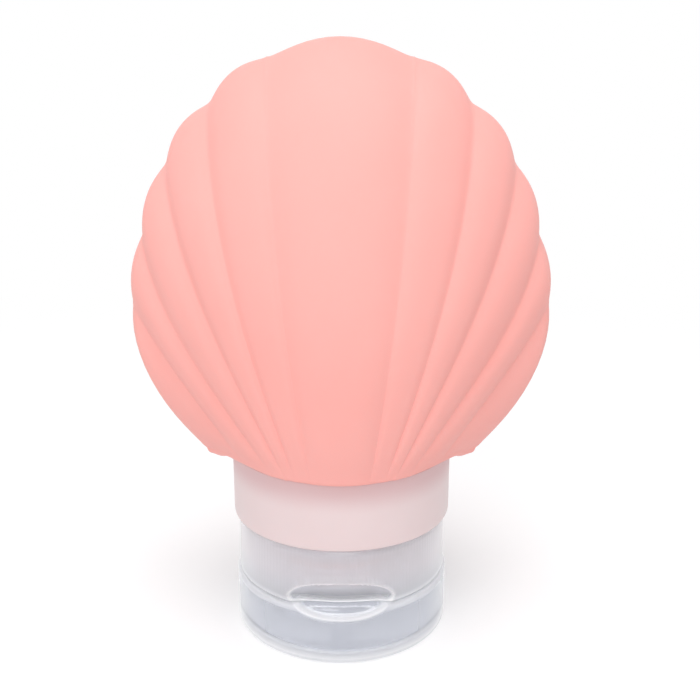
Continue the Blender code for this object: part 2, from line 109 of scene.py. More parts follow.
def scalloped_rim(inset, fluted, foot_rise):
    """The rim from the left foot over the top to the right foot, in columns.

    Returns x and z, each column's place counted in flutes from the middle, and its swell.
    The notches lie on rays of the fan, at their shares of its height, and the rim ends at
    the foot's corners, which hang lower on the fluted shell. From notch A to notch B the
    rim is A + (B - A) s, pushed out of the chord by the flute's bulge times its crown. The
    crown runs 0, 1, 0 as c = 1 - |2 s - 1|^2, on the last flutes with s^0.78 for s, and is
    softened to (sqrt(c^2 + e^2) - e) / (sqrt(1 + e^2) - e) in the notches. The swell is
    such a crown, with the flute's flatness as its power, times the angle that the flute
    spans and its bulge on the face.
    """
    reach = FAN_HEIGHT * VALLEY_REACH - inset
    notches = np.stack([
        reach * np.sin(VALLEY_ANGLE), FAN_Z + reach * np.cos(VALLEY_ANGLE)], axis=1)
    corner = [[FOOT_HALF_WIDTH - inset, SHELL_BASE + inset + foot_rise - WING_DROP * fluted]]
    right = np.concatenate([notches, corner])
    notches = np.concatenate([right[::-1] * (-1, 1), right])
    side = np.arange(-5, 6)[:, None]
    share = (1 - np.cos(np.linspace(0, math.pi, FLUTE_COLUMNS, endpoint=False))) / 2
    down = np.where(side > 0, share, 1 - share) ** np.where(abs(side) == 5, LAST_FLUTE_LEAN, 1)
    power = np.stack([np.full_like(side, 2.0, float), FACE_FLATNESS[abs(side)]])
    crown = np.hypot(1 - abs(2 * down - 1) ** power, VALLEY_SOFTNESS) - VALLEY_SOFTNESS
    crown *= fluted / (math.hypot(1, VALLEY_SOFTNESS) - VALLEY_SOFTNESS)
    start, chord = notches[:-1, None], np.diff(notches, axis=0)[:, None]
    outward = chord[..., ::-1] * (-1, 1)
    edge = start + chord * share[:, None] + outward * (RIM_BULGE[abs(side)] * crown[0])[..., None]
    edge = np.concatenate([edge.reshape(-1, 2), notches[-1:]])
    width = np.diff(np.arctan2(notches[:, 0], notches[:, 1] - FAN_Z))[:, None]
    swell = np.append(FACE_BULGE[abs(side)] * width * crown[1], 0.0)
    return edge[:, 0], edge[:, 1], np.append(side - 0.5 + share, 5.5), swell


def fluted_lens(inset, fluted, foot_rise, rows):
    """Front and back of the shell as one grid, from the front foot over the rim to the back.

    A column runs from its foot F to its rim R in the fan: r = F + (R - F) s, s = sin(pi t / 2).
    It bends on the way: from the rim's angle it turns by T (1 - s)^2 + 4 B s (1 - s), where
    T is the valley's turn at the foot and B its bow. Half the depth at angle a is the root
    of the summed squares of a round bead along the rim and of a lens,
    D (4 p (1 - p))^0.68 (1 - (a / 48 deg)^2)^1.2 with p = r / R. Near the foot, where n runs
    from 0 to 1, the lens flares by n^2, the 48 degrees shrink by 1.5 n and the power 1.2
    falls by 0.12 n. A flute adds its swell times r^0.5 and sqrt(1 - p^8), and fades out at
    the very foot as 1 - n^6. Beyond the collar's ledge, where w runs from 0 to 1, the wings
    hang lower, by 3 w^2 - 2 w^3 of their drop. A last column without depth at either end
    joins the front's foot to the back's. A foot that rises over the base goes down to it
    in a quarter circle: inwards by rise (1 - cos b), and down by rise sin b.
    """
    rim_columns = scalloped_rim(inset, fluted, foot_rise)
    x, z, place, swell = (np.pad(column, 1, mode="edge") for column in rim_columns)
    valleys = [0.0, 0.5, 1.5, 2.5, 3.5, 4.5, 5.5]
    turn = np.interp(abs(place), valleys, VALLEY_FOOT_TURN) * np.sign(place)
    bow = np.interp(abs(place), valleys, VALLEY_BOW) * np.sign(place)
    out = np.sin(np.linspace(0, math.pi / 2, rows + 1))[:, None]
    angle = np.arctan2(x, z - FAN_Z) + turn * (1 - out) ** 2 + 4 * bow * out * (1 - out)
    rim = np.hypot(x, z - FAN_Z)
    base = SHELL_BASE + inset + foot_rise - FAN_Z
    wing = rise(base * np.tan(abs(angle[0])) - FOOT_LEDGE, WING_RUN)
    base = base - WING_DROP * fluted * wing**2 * (3 - 2 * wing)
    foot = np.minimum(rim, base / np.cos(angle[0]))
    reach = foot + (rim - foot) * out
    part = reach / rim
    along = np.maximum(4 * part * (1 - part), 0) ** LENS_POWER
    near_foot = 1 - np.minimum((reach - foot) * np.cos(angle) / FOOT_REACH, 1)
    edge = FAN_EDGE_ANGLE - FOOT_EDGE_DRAW * near_foot
    side_power = SIDE_POWER - FOOT_SIDE_POWER_DROP * near_foot
    across = np.maximum(1 - (angle / edge) ** 2, 0) ** side_power
    bead_radius = max(RIM_ROUND - inset, 0.0)
    from_rim = np.minimum(rim - reach, bead_radius)
    bead = np.sqrt(np.maximum(bead_radius**2 - (bead_radius - from_rim) ** 2, 0))
    lens = (SHELL_HALF_DEPTH - inset) * along + FOOT_FLARE * near_foot**2
    depth = np.hypot(lens * across, bead * np.minimum(rim - foot, RIM_ROUND) / RIM_ROUND)
    flute = swell * FLUTE_REACH * (reach / FLUTE_REACH) ** 0.5 * (1 - near_foot**6)
    depth += flute * np.sqrt(np.maximum(1 - part**8, 0))
    depth[-1] = 0.0
    depth[:, [0, -1]] = 0.0
    front = np.stack([reach * np.sin(angle), -depth, FAN_Z + reach * np.cos(angle)], axis=-1)
    if foot_rise:
        bend = np.radians([90, 75, 60, 45, 30, 15])[:, None, None]
        from_axis = np.hypot(front[0, :, :1], front[0, :, 1:2])
        shrink = 1 - foot_rise * (1 - np.cos(bend)) / np.maximum(from_axis, foot_rise)
        rounded = front[0] * np.concatenate([shrink, shrink, np.ones_like(shrink)], axis=-1)
        rounded[..., 2] -= foot_rise * np.sin(bend[..., 0])
        front = np.concatenate([rounded, front])
    back = front[-2::-1] * (1, -1, 1)
    return np.concatenate([front, back])


def foot_loop(lens):
    """The closed edge of a lens's flat foot: the front from left to right, then the back."""
    return np.concatenate([lens[0], lens[-1][::-1], lens[0][:1]])


def turned(outline, angle):
    """Carry an outline of (radius, height) rows round the axis: (r cos a, r sin a, z)."""
    radius, height = np.asarray(outline, float).T[:, :, None]
    height = np.broadcast_to(height, (len(height), len(angle)))
    return np.stack([radius * np.cos(angle), radius * np.sin(angle), height], axis=-1)


def skin(name, sheets, surface):
    """One closed mesh out of sheets of points, each an array of rows and columns.

    Points (i, j), (i, j + 1), (i + 1, j + 1) and (i + 1, j) of a sheet make a face. Points
    that meet at the seams and poles become one, and then all faces are turned outwards. A
    sheet of clear plastic has a fourth number at each point, how milky it is there, with
    painted highlights and painted shade in it.
    """
    points, faces, first = [], [], 0
    for sheet in sheets:
        rows, columns = sheet.shape[:2]
        index = first + np.arange(rows * columns).reshape(rows, columns)
        corners = index[:-1, :-1], index[:-1, 1:], index[1:, 1:], index[1:, :-1]
        points.append(sheet.reshape(rows * columns, -1))
        faces.append(np.stack(corners, axis=-1).reshape(-1, 4))
        first += rows * columns
    points = np.concatenate(points)
    mesh = bpy.data.meshes.new(name)
    mesh.from_pydata(points[:, :3], [], np.concatenate(faces))
    if points.shape[1] > 3:
        mesh.attributes.new("milk_and_painted_light", "FLOAT", "POINT").data.foreach_set("value", points[:, 3])
    shape = bmesh.new()
    shape.from_mesh(mesh)
    bmesh.ops.remove_doubles(shape, verts=shape.verts, dist=WELD_DISTANCE)
    bmesh.ops.recalc_face_normals(shape, faces=shape.faces)
    shape.to_mesh(mesh)
    shape.free()
    mesh.shade_smooth()
    mesh.set_sharp_from_angle(angle=SHARP_ANGLE)
    mesh.materials.append(surface)
    piece = bpy.data.objects.new(name, mesh)
    bpy.context.collection.objects.link(piece)
    return piece


class Value:
    """A shader socket that takes part in sums: each operator adds the Math node for it."""

    def __init__(self, socket):
        self.socket = socket

    def node(self, kind, settings, inputs, output=0):
        """Add a node: its settings come first, then each socket takes a value or a link."""
        made = self.socket.id_data.nodes.new(kind)
        for name, choice in settings.items():
            setattr(made, name, choice)
        for name, content in inputs.items():
            if isinstance(content, Value):
                made.id_data.links.new(content.socket, made.inputs[name])
            else:
                made.inputs[name].default_value = content
        return Value(made.outputs[output])

    def __add__(self, other):
        return self.node("ShaderNodeMath", {"operation": "ADD"}, {0: self, 1: other})

    def __mul__(self, other):
        return self.node("ShaderNodeMath", {"operation": "MULTIPLY"}, {0: self, 1: other})

    __radd__ = __add__
    __rmul__ = __mul__


def noise(place, scale, detail):
    """Cloudy noise through the piece: the larger its scale, the finer it is."""
    inputs = {"Vector": place, "Scale": scale, "Detail": detail}
    return place.node("ShaderNodeTexNoise", {}, inputs)


def mixed(share, first, second):
    """A share of the second colour in the first."""
    return share.node("ShaderNodeMix", {"data_type": "RGBA"}, {0: share, 6: first, 7: second}, 2)


def blended(share, first, second):
    """A share of the second shader in the first."""
    return share.node("ShaderNodeMixShader", {}, {0: share, 1: first, 2: second})


def bumped(height, strength=1.0):
    """The normal of a surface that a height in metres lifts."""
    inputs = {"Height": height, "Distance": 1.0, "Strength": strength}
    return height.node("ShaderNodeBump", {}, inputs)


def principled(name, constants):
    """A new material with constants on its Principled shader's sockets.

    Returns the material, its shader and the piece's Object coordinates.
    """
    surface = bpy.data.materials.new(name)
    surface.use_nodes = True
    nodes = surface.node_tree.nodes
    shader = nodes["Principled BSDF"]
    for socket, content in constants.items():
        shader.inputs[socket].default_value = content
    return surface, shader, Value(nodes.new("ShaderNodeTexCoord").outputs["Object"])


def feed(shader, sockets):
    """Link values into a shader's sockets."""
    for name, value in sockets.items():
        shader.id_data.links.new(value.socket, shader.inputs[name])


def silicone():
    """Matte cast silicone: a blasted mould's fine grain, faint clouds, and the mould's seam."""
    surface, shader, place = principled("shell_silicone", {
        "Subsurface Weight": 0.12,
        "Subsurface Radius": (1.0, 0.45, 0.35),
        "Subsurface Scale": 2.0 * MM,
        "Specular IOR Level": 0.35,
    })
    clouds = noise(place, 55.0, 3.0)
    grain = noise(place, 2600.0, 2.0)
    tint = mixed(clouds, (1.0, 0.425, 0.385, 1.0), (1.0, 0.470, 0.428, 1.0))
    depth = place.node("ShaderNodeSeparateXYZ", {}, {0: place}, 1)
    off_seam = depth.node("ShaderNodeMath", {"operation": "ABSOLUTE"}, {0: depth})
    seam = off_seam.node("ShaderNodeMapRange", {}, {
        0: off_seam, 1: 0.0, 2: SEAM_HALF_WIDTH, 3: 1.0, 4: 0.0})
    relief = grain * 0.010 + seam * 0.05
    feed(shader, {
        "Base Color": tint,
        "Roughness": 0.5 + clouds * 0.14,
        "Normal": bumped(relief * MM, 0.8),
    })
    return surface


outer = fluted_lens(0.0, 1.0, FOOT_ROUND, OUTER_ROWS)
cavity = fluted_lens(SHELL_WALL, 0.0, 0.0, CAVITY_ROWS)
outer_foot, cavity_foot = foot_loop(outer), foot_loop(cavity)
foot_radius = np.hypot(outer_foot[:, :1], outer_foot[:, 1:2])
ledge = outer_foot * np.minimum(FOOT_LEDGE / foot_radius, FOOT_LEDGE_LIMIT)
ledge[:, 2] = SHELL_BASE
round_neck = turned([
    (SHOULDER_RADIUS, SHELL_BASE),
    (SHOULDER_RADIUS, SHOULDER_BASE + SHOULDER_CHAMFER),
    (SHOULDER_RADIUS - SHOULDER_CHAMFER, SHOULDER_BASE),
    (NECK_RADIUS, SHOULDER_BASE),
    (NECK_RADIUS, LIP_TOP),
    (LIP_RADIUS, LIP_TOP),
    (LIP_RADIUS, LIP_BASE),
    (NECK_BORE, LIP_BASE),
    (NECK_BORE, SHOULDER_BASE + SHELL_WALL),
    (SHOULDER_RADIUS - SHELL_WALL, SHOULDER_BASE + SHELL_WALL + SHOULDER_SLOPE),
    (SHOULDER_RADIUS - SHELL_WALL, SHELL_BASE + SHELL_WALL),
], np.arctan2(outer_foot[:, 1], outer_foot[:, 0]))
middle = np.concatenate([outer_foot[None], ledge[None], round_neck, cavity_foot[None]])
shell = skin("shell", [outer, middle, cavity], silicone())
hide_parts("squeeze_body")
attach(shell, "bottle")

# --- The collar ------------------------------------------------------------------------
# A hard ring of frosted pale pink polypropylene, injection moulded. The shell sits in it
# from above, and the tube below it, inside the cap, carries the screw thread.
COLLAR_RADIUS = 18.95 * MM
COLLAR_WALL = 1.3 * MM
COLLAR_BASE = 20.4 * MM
COLLAR_TOP = 32.0 * MM
COLLAR_FLOOR = 21.9 * MM
TUBE_BORE = 12.2 * MM
TUBE_RADIUS = 13.3 * MM
TUBE_END = 15.5 * MM
THREAD_DEPTH = 0.8 * MM
THREAD_PITCH = 2.2 * MM
THREAD_FOOT = 0.5
THREAD_CREST = 0.18
THREAD_RUNOUT = 0.1
THREAD_PHASE = math.tau / 96
THREAD_MARGIN = 0.85 * MM
TUBE_THREAD_START = TUBE_END + THREAD_MARGIN
TUBE_EASE = 0.1 * MM
COLLAR_BASE_EASE = 0.6 * MM
COLLAR_TOP_EASE = 0.15 * MM
EASE_STEPS = 5
ROUND_COLUMNS = 240
# Between these heights the collar's top is painted darker and pinker: painted shade under the
# shell's overhang, and a painted glow of the shell behind the wall.
PAINTED_SHADE_FROM = 26.6 * MM
PAINTED_SHADE_FULLY = 31.0 * MM


def eased(corners, steps=EASE_STEPS):
    """An outline through (radius, height, ease) corners, each rounded by a parabola.

    It leaves the straight side at A, its ease before the corner C, and joins the next at B,
    as far behind it: (1 - t)^2 A + 2 t (1 - t) C + t^2 B.
    """
    corners = np.array(corners, float)
    corner, ease = corners[:, :2], corners[:, 2:]
    ahead = np.roll(corner, -1, axis=0) - corner
    ahead = ahead / np.linalg.norm(ahead, axis=1, keepdims=True)
    start, end = corner - np.roll(ahead, 1, axis=0) * ease, corner + ahead * ease
    t = np.linspace(0, 1, steps)[:, None, None]
    curve = (1 - t) ** 2 * start + 2 * t * (1 - t) * corner + t**2 * end
    return curve.transpose(1, 0, 2).reshape(-1, 2)


def screw_ridge(angle, height, first, turns):
    """How far a one-start right-handed ridge stands off its wall, as a share of its depth.

    Unrolled, the ridge is a straight band. A point is u = (z - first) / pitch - a / 2 pi
    turns up the wall, its angle a counted from THREAD_PHASE, and |u - round(u)| away from
    the middle of the nearest turn. The flanks fall from the crest's half width to the
    foot's, and both ends run out over THREAD_RUNOUT of a turn.
    """
    around = ((angle - THREAD_PHASE) % math.tau) / math.tau
    turn = (height - first) / THREAD_PITCH - around
    nearest = np.round(turn)
    wound = nearest + around
    flank = rise(THREAD_FOOT / 2 - np.abs(turn - nearest), THREAD_FOOT / 2 - THREAD_CREST / 2)
    return flank * rise(np.minimum(wound, turns - wound), THREAD_RUNOUT)


def frosted():
    """Frosted pale pink polypropylene: fine grain, faint flow clouds and a soft sheen.

    Near its top it is painted darker and pinker: painted shade under the shell's overhang,
    and a painted glow of the pink shell through its thin wall.
    """
    surface, shader, place = principled("frosted_polypropylene", {
        "Subsurface Weight": 0.2,
        "Subsurface Radius": (1.0, 0.7, 0.65),
        "Subsurface Scale": 1.5 * MM,
    })
    clouds = noise(place, 120.0, 2.0)
    grain = noise(place, 5200.0, 2.0)
    tint = mixed(clouds, (0.80, 0.65, 0.65, 1.0), (0.84, 0.69, 0.695, 1.0))
    # Painted shade and glow: a darker pink mixed in towards the top.
    z = place.node("ShaderNodeSeparateXYZ", {}, {0: place}, 2)
    painted_shade_and_glow = z.node("ShaderNodeMapRange", {"interpolation_type": "SMOOTHSTEP"}, {
        0: z, 1: PAINTED_SHADE_FROM, 2: PAINTED_SHADE_FULLY})
    feed(shader, {
        "Base Color": mixed(painted_shade_and_glow * 0.85, tint, (0.70, 0.47, 0.48, 1.0)),
        "Roughness": 0.32 + clouds * 0.12,
        "Normal": bumped(grain * 0.006 * MM),
    })
    return surface


around = np.linspace(0, math.tau, ROUND_COLUMNS + 1)
outside = eased([
    (COLLAR_RADIUS - COLLAR_WALL, COLLAR_FLOOR, 0.0),
    (TUBE_BORE, COLLAR_FLOOR, TUBE_EASE),
    (TUBE_BORE, TUBE_END, TUBE_EASE),
    (TUBE_RADIUS, TUBE_END, TUBE_EASE),
    (TUBE_RADIUS, COLLAR_BASE, 0.0),
    (COLLAR_RADIUS, COLLAR_BASE, COLLAR_BASE_EASE),
    (COLLAR_RADIUS, COLLAR_TOP, COLLAR_TOP_EASE),
    (COLLAR_RADIUS - COLLAR_WALL, COLLAR_TOP, COLLAR_TOP_EASE),
])
climb = np.linspace(TUBE_END + TUBE_EASE, COLLAR_BASE, 56)
tube_turns = (COLLAR_BASE - THREAD_MARGIN - TUBE_THREAD_START) / THREAD_PITCH
ridge = screw_ridge(around, climb[:, None], TUBE_THREAD_START, tube_turns)
ridge_radius = (TUBE_RADIUS + THREAD_DEPTH * ridge)[..., None]
upright = np.broadcast_to(climb[:, None, None], ridge_radius.shape)
tube_wall = np.concatenate([
    ridge_radius * np.cos(around)[:, None], ridge_radius * np.sin(around)[:, None], upright,
], axis=-1)
tube_top = 4 * EASE_STEPS
below, above = turned(outside[:tube_top], around), turned(outside[tube_top:], around)
collar_loop = np.concatenate([below, tube_wall, above, below[:1]])
pale_pink = frosted()
collar = skin("collar", [collar_loop], pale_pink)
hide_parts("neck_collar")
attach(collar, "bottle")

# --- The insert ------------------------------------------------------------------------
# A hard sleeve of the collar's frosted polypropylene, injection moulded and pressed into
# the silicone neck. Its flange pins the neck's lip to the tube's end.


def coat(name, surface):
    """Give a CAD node's own mesh its material."""
    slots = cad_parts[name].data.materials
    slots.clear()
    slots.append(surface)


coat("neck_insert", pale_pink)

# --- The seal ring, and the slit valve over the spout ----------------------------------
# A flat washer and a thin disc with a cross slit, both die cut or moulded from milky
# white silicone. The washer lies loose in the cap, and the valve sits in its pocket.


def milky_silicone():
    """Milky white silicone with faint clouds that show in its tint, gloss and surface."""
    surface, shader, place = principled("white_silicone", {"Specular IOR Level": 0.4})
    clouds = noise(place, 300.0, 2.0)
    feed(shader, {
        "Base Color": mixed(clouds, (0.82, 0.82, 0.83, 1.0), (0.89, 0.89, 0.88, 1.0)),
        "Roughness": 0.42 + clouds * 0.14,
        "Normal": bumped(clouds * 0.01 * MM),
    })
    return surface


milky = milky_silicone()
coat("seal_ring", milky)
coat("no_drip_valve", milky)

# --- The cap ---------------------------------------------------------------------------
# Slightly milky clear polypropylene, moulded in one with its deck, spout, valve pocket and
# threaded sleeve. Its skirt has fine upright grip ribs and the thumb notch in front, and a
# flat lug at the back carries the web of the lid.
CAP_BASE = 10.1 * MM
CAP_TOP = 20.1 * MM
CAP_RADIUS = 18.3 * MM
DECK_TOP = 11.4 * MM
SKIRT_BORE = 17.1 * MM
SKIRT_DRAFT = 0.3 * MM
SLEEVE_BORE = 14.45 * MM
SLEEVE_RADIUS = 15.55 * MM
SLEEVE_TOP = 19.6 * MM
SLEEVE_EDGE = 0.1 * MM
CAP_EDGE = 0.2 * MM
DECK_EDGE = 0.15 * MM
CHANNEL_WIDTH = 0.1 * MM
CHANNEL_RAMP = 0.5 * MM
CAP_THREAD_TURNS = 2.0
CAP_THREAD_START = TUBE_THREAD_START - 1.5 * THREAD_PITCH
ORIFICE_RADIUS = 1.6 * MM
SPOUT_TIP_Z = 7.6 * MM
SPOUT_TIP_RADIUS = 3.4 * MM
SPOUT_FOOT_RADIUS = 4.2 * MM
POCKET_BORE = 4.9 * MM
POCKET_RADIUS = 6.0 * MM
POCKET_TOP = 14.4 * MM
POCKET_EASE = 0.15 * MM
ORIFICE_TOP_EASE = 0.1 * MM
ORIFICE_TIP_EASE = 0.15 * MM
SPOUT_TIP_EASE = 0.3 * MM
SPOUT_FOOT_EASE = 0.2 * MM
NOTCH_ANGLE = 1.5 * math.pi
NOTCH_HALF = np.array([9.2, 2.2, 3.05]) * MM
NOTCH_SIDE_POWER = 2.5
NOTCH_TOP_POWER = 1.5
NOTCH_Z = 11.15 * MM
NOTCH_WALL = 1.1 * MM
EDGE_EASE = 0.25 * MM
HINGE_Y = 19.15 * MM
HINGE_Z = 9.925 * MM
HINGE_RELIEF = 0.75 * MM
LUG_ANGLE = math.pi / 2
LUG_SIDE = math.atan2(4.65 * MM, HINGE_Y)
LUG_HEIGHT = 2.4 * MM
LUG_STEP = 0.02 * MM
CLOSE_ROWS_TOP = 14.9 * MM
WIDE_ROWS_FOOT = 15.5 * MM
RIBS = 160
RIB_HEIGHT = 0.02 * MM
RIB_FOOT = 11.2 * MM
RIB_RUNOUT = 0.8 * MM
RIB_FADE = 0.3 * MM
LIGHT_LET_IN = 0.85
# Between these heights the milky plastic is painted pinker, a painted glow of the collar's pink
# tube behind it.
PAINTED_GLOW_FROM = 10.5 * MM
PAINTED_GLOW_FULLY = 15.0 * MM
# How milky the plastic is, from 0 for clear to 1 for white, and how far an edge shows.
# The edge, foot and rim values add painted highlights, and the notch's drop is painted shade.
SKIRT_MILK = 0.37
NOTCH_SHOWS_DEPTH = 0.8 * MM
NOTCH_PAINTED_SHADE = 0.14
NOTCH_EDGE_HIGHLIGHT = 0.35
NOTCH_EDGE_REACH = 0.22 * MM
NOTCH_FOOT_HIGHLIGHT = 0.5
NOTCH_FOOT_REACH = 0.4 * MM
SKIRT_FOOT_HIGHLIGHT = 0.25
SKIRT_FOOT_REACH = 0.9 * MM
CAP_RIM_HIGHLIGHT = 0.6
SLEEVE_RIM_HIGHLIGHT = 0.4
THREAD_MILK = 0.1
THREAD_RIDGE_MILK = 0.8
DECK_MILK = 0.3
DECK_NOTCH_HIGHLIGHT = 0.6
CORE_MILK = 0.15
INSIDE_MILK = 0.08


def notch_share(angle, height, grow):
    """How far inside the thumb notch's outline a point is: f = 1 - |s / i|^2.5 - |t / k|^1.5.

    Here s is its arc from the middle of the front and t its height over the notch's middle,
    and i and k are the notch's half sizes, longer by grow. Returns f, s / i and t / k, the
    last two without their signs; f is 1 in the middle, 0 on the outline and less outside.
    """
    wide, _, tall = NOTCH_HALF + grow
    across = CAP_RADIUS * np.abs(np.mod(angle, math.tau) - NOTCH_ANGLE) / wide
    up = np.abs(height - NOTCH_Z) / tall
    return 1 - across**NOTCH_SIDE_POWER - up**NOTCH_TOP_POWER, across, up


def notch_radius(angle, height, grow):
    """The radius of the notch, a shallow dish bent round the wall, j sqrt(f) inside it.

    Past its outline, where f is below 0, it runs on outwards by j sqrt(-f).
    """
    within = notch_share(angle, height, grow)[0]
    return CAP_RADIUS - (NOTCH_HALF[1] + grow) * np.sign(within) * np.sqrt(np.abs(within))


def dented(radius, angle, height, grow, ease=EDGE_EASE):
    """The lesser of a wall's radius and the notch's, their edge softened by an ease e:
    (p + q - sqrt((p - q)^2 + e^2)) / 2."""
    notch = notch_radius(angle, height, grow)
    return (radius + notch - np.hypot(radius - notch, ease)) / 2


def lugged(radius, angle, height, low, high):
    """A wall's radius, raised at the back to the flat lug, y = r sin a, and its relief.

    The relief is a cylinder about the hinge's axis: y = Y - sqrt(relief^2 - (z - Z)^2).
    """
    cut = np.sqrt(np.maximum(HINGE_RELIEF**2 - (height - HINGE_Z) ** 2, 0))
    face = (HINGE_Y - cut) / np.maximum(np.sin(angle), 0.5)
    on_lug = (np.abs(angle - LUG_ANGLE) <= LUG_SIDE) & (height >= low) & (height <= high)
    return np.where(on_lug, np.maximum(radius, face), radius)


def ringed(radius, height, angle, milk_and_painted_light):
    """Rows round the axis; radius, height and milkiness, painted light included, may vary."""
    radius, height, angle, milk_and_painted_light = np.broadcast_arrays(radius, height, angle, milk_and_painted_light)
    return np.stack([radius * np.cos(angle), radius * np.sin(angle), height, milk_and_painted_light], axis=-1)


def dent_edge(angle, height, reach):
    """1 on the notch's outline and 0 far from it: exp(-(f / |f'| / reach)^2), where f / |f'|
    is the distance along the wall, to the first order."""
    within, across, up = notch_share(angle, height, 0.0)
    side_slope = NOTCH_SIDE_POWER * across ** (NOTCH_SIDE_POWER - 1) / NOTCH_HALF[0]
    top_slope = NOTCH_TOP_POWER * up ** (NOTCH_TOP_POWER - 1) / NOTCH_HALF[2]
    away = within / np.maximum(np.hypot(side_slope, top_slope), 1.0)
    return np.exp(-np.minimum((away / reach) ** 2, 9.0))


def clear_plastic():
    """Clear polypropylene, milky where it is thick, and whiter at edges as painted highlights.

    It has faint clouds and shallow waves. Each point says how milky it is there, painted
    highlights and painted shade included, and a wall seen at a slant is milkier. Thin
    milkiness is bluish and thick milkiness white, and further up it is painted pinker, a
    painted glow of the collar's tube behind. Shadow rays pass its faces by the share
    LIGHT_LET_IN, so that its inside is lit.
    """
    gloss = {"Coat Weight": 0.6, "Coat Roughness": 0.04}
    surface, shader, place = principled(
        "clear_polypropylene", {"Transmission Weight": 1.0, "IOR": 1.49, **gloss})
    clouds = noise(place, 160.0, 3.0)
    bump = bumped(noise(place, 420.0, 1.0) * 0.02 * MM)
    feed(shader, {
        "Base Color": mixed(clouds, (0.925, 0.935, 0.985, 1.0), (0.945, 0.955, 0.995, 1.0)),
        "Roughness": 0.06 + clouds * 0.10,
        "Normal": bump,
    })
    milk_and_painted_light = place.node("ShaderNodeAttribute", {"attribute_name": "milk_and_painted_light"}, {}, 2)
    z = place.node("ShaderNodeSeparateXYZ", {}, {0: place}, 2)
    painted_tube_glow = z.node("ShaderNodeMapRange", {}, {0: z, 1: PAINTED_GLOW_FROM, 2: PAINTED_GLOW_FULLY})
    milky_tint = mixed(milk_and_painted_light, (0.84, 0.87, 0.96, 1.0), (0.98, 0.97, 0.965, 1.0))
    milky = place.node("ShaderNodeBsdfPrincipled", {}, {
        # The painted pink glow of the tube, mixed in further up.
        "Base Color": mixed(painted_tube_glow * 0.8, milky_tint, (1.0, 0.925, 0.96, 1.0)),
        "Roughness": 0.35 + clouds * 0.12,
        "Normal": bump,
        **gloss,
    })
    slant = place.node("ShaderNodeLayerWeight", {}, {"Blend": 0.5}, "Facing")
    plastic = blended(milk_and_painted_light + slant * 0.4, Value(shader.outputs[0]), milky)
    passing = place.node("ShaderNodeLightPath", {}, {}, "Is Shadow Ray") * LIGHT_LET_IN
    let_in = place.node("ShaderNodeBsdfTransparent", {}, {})
    output = surface.node_tree.nodes["Material Output"]
    feed(output, {"Surface": blended(passing, plastic, let_in)})
    return surface


lug_edges = LUG_ANGLE + np.array([-1, 1])[:, None] * (LUG_SIDE + np.radians([-0.2, 0.0, 0.1]))
cap_angle = np.union1d(np.linspace(0.0, math.tau, 2 * ROUND_COLUMNS + 1), lug_edges)
lug_top = CAP_BASE + LUG_HEIGHT
climb = np.concatenate([
    np.linspace(CAP_BASE + DECK_EDGE, lug_top, 16),
    np.linspace(lug_top + LUG_STEP, CLOSE_ROWS_TOP, 17),
    np.linspace(WIDE_ROWS_FOOT, CAP_TOP - CAP_EDGE, 6),
])[:, None]
skirt_radius = CAP_RADIUS - SKIRT_DRAFT * (climb - CAP_BASE) / (CAP_TOP - CAP_BASE)
skirt_out = dented(skirt_radius, cap_angle, climb, 0.0)
skirt_out = lugged(skirt_out, cap_angle, climb, CAP_BASE, lug_top)
# The channel between skirt and sleeve starts on the deck, or over the notch's own wall
# where that comes closer to the sleeve than the channel's least width.
notch_mid = notch_radius(cap_angle, NOTCH_Z, NOTCH_WALL)
dent = rise(CAP_RADIUS - SLEEVE_RADIUS - CHANNEL_WIDTH, NOTCH_HALF[1] + NOTCH_WALL)
blocked = NOTCH_Z + (NOTCH_HALF[2] + NOTCH_WALL) * math.sqrt(1 - dent**2)
deep_share = rise(SLEEVE_RADIUS + CHANNEL_WIDTH - notch_mid, CHANNEL_RAMP) ** 0.5
channel_floor = DECK_TOP + (blocked - DECK_TOP) * deep_share
up = np.linspace(0, 1, 30)[:, None] ** 1.3
inner_climb = channel_floor + (CAP_TOP - CAP_EDGE - channel_floor) * up
skirt_in = dented(SKIRT_BORE, cap_angle, inner_climb, NOTCH_WALL)
skirt_in = np.maximum(skirt_in, SLEEVE_RADIUS + CHANNEL_WIDTH)
thread_climb = np.linspace(SLEEVE_TOP - SLEEVE_EDGE, DECK_TOP + SLEEVE_EDGE, 58)[:, None]
cap_ridge = screw_ridge(cap_angle, thread_climb, CAP_THREAD_START, CAP_THREAD_TURNS)
core = eased([
    (SLEEVE_BORE, DECK_TOP, 0.0),
    (POCKET_RADIUS, DECK_TOP, POCKET_EASE),
    (POCKET_RADIUS, POCKET_TOP, POCKET_EASE),
    (POCKET_BORE, POCKET_TOP, POCKET_EASE),
    (POCKET_BORE, DECK_TOP, 0.0),
    (ORIFICE_RADIUS, DECK_TOP, ORIFICE_TOP_EASE),
    (ORIFICE_RADIUS, SPOUT_TIP_Z, ORIFICE_TIP_EASE),
    (SPOUT_TIP_RADIUS, SPOUT_TIP_Z, SPOUT_TIP_EASE),
    (SPOUT_FOOT_RADIUS, CAP_BASE, SPOUT_FOOT_EASE),
    (CAP_RADIUS, CAP_BASE, 0.0),
], 4)[:-4]
deck_out = dented(CAP_RADIUS - DECK_EDGE, cap_angle, CAP_BASE, 0.0)
deck_out = lugged(deck_out, cap_angle, CAP_BASE, CAP_BASE, lug_top)
in_notch = rise(skirt_radius - skirt_out, NOTCH_SHOWS_DEPTH)
near_notch = dent_edge(cap_angle, climb, NOTCH_EDGE_REACH)
notch_foot = in_notch * (1 - rise(climb - CAP_BASE, NOTCH_FOOT_REACH))
skirt_foot = (1 - in_notch) * (1 - rise(climb - CAP_BASE, SKIRT_FOOT_REACH))
